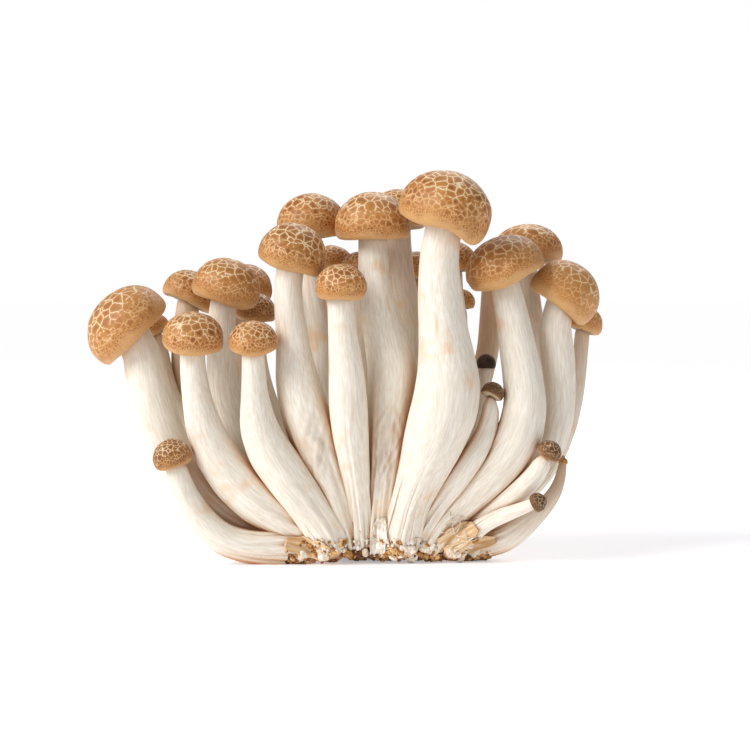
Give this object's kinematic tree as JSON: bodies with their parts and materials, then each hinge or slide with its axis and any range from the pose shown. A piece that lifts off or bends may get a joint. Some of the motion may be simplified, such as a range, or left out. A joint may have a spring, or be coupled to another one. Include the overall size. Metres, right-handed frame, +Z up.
{
  "type": "beech mushroom cluster",
  "caption": "Cluster of brown-capped beech mushrooms with long pale stems that fan out from one crumbly cut foot, standing upright.",
  "frame": {"origin": "middle of the bounding box, on the surface that the cluster stands on", "axes": "+X to the right across the fan of mushrooms, -Y towards the viewer, +Z up"},
  "size_m": [0.1216, 0.0572, 0.0909],
  "materials": {
    "cap": "smooth satin brown skin with a fine cream marbling",
    "stem": "matt fibrous cream flesh",
    "foot": "dry crumbs bound by white threads"
  },
  "bodies": {
    "root": {"cap_01": "cap", "cap_02": "cap", "cap_03": "cap", "cap_04": "cap", "cap_05": "cap", "cap_06": "cap", "cap_07": "cap", "cap_08": "cap", "cap_09": "cap", "cap_10": "cap", "cap_11": "cap", "cap_12": "cap", "cap_13": "cap", "cap_14": "cap", "cap_15": "cap", "cap_16": "cap", "cap_17": "cap", "cap_18": "cap", "cap_19": "cap", "cap_20": "cap", "cap_21": "cap", "cap_22": "cap", "cap_23": "cap", "cap_24": "cap", "cap_25": "cap", "cap_26": "cap", "cap_27": "cap", "cap_28": "cap", "foot_clump": "foot", "pin_front": "stem", "pin_middle": "stem", "pin_right": "stem", "stem_01": "stem", "stem_02": "stem", "stem_03": "stem", "stem_04": "stem", "stem_05": "stem", "stem_06": "stem", "stem_07": "stem", "stem_08": "stem", "stem_09": "stem", "stem_10": "stem", "stem_11": "stem", "stem_12": "stem", "stem_13": "stem", "stem_14": "stem", "stem_15": "stem", "stem_16": "stem", "stem_17": "stem", "stem_18": "stem", "stem_19": "stem", "stem_20": "stem", "stem_21": "stem", "stem_22": "stem", "stem_23": "stem", "stem_24": "stem", "stem_25": "stem", "stem_26": "stem", "stem_27": "stem", "stem_28": "stem"}
  },
  "joints": []
}
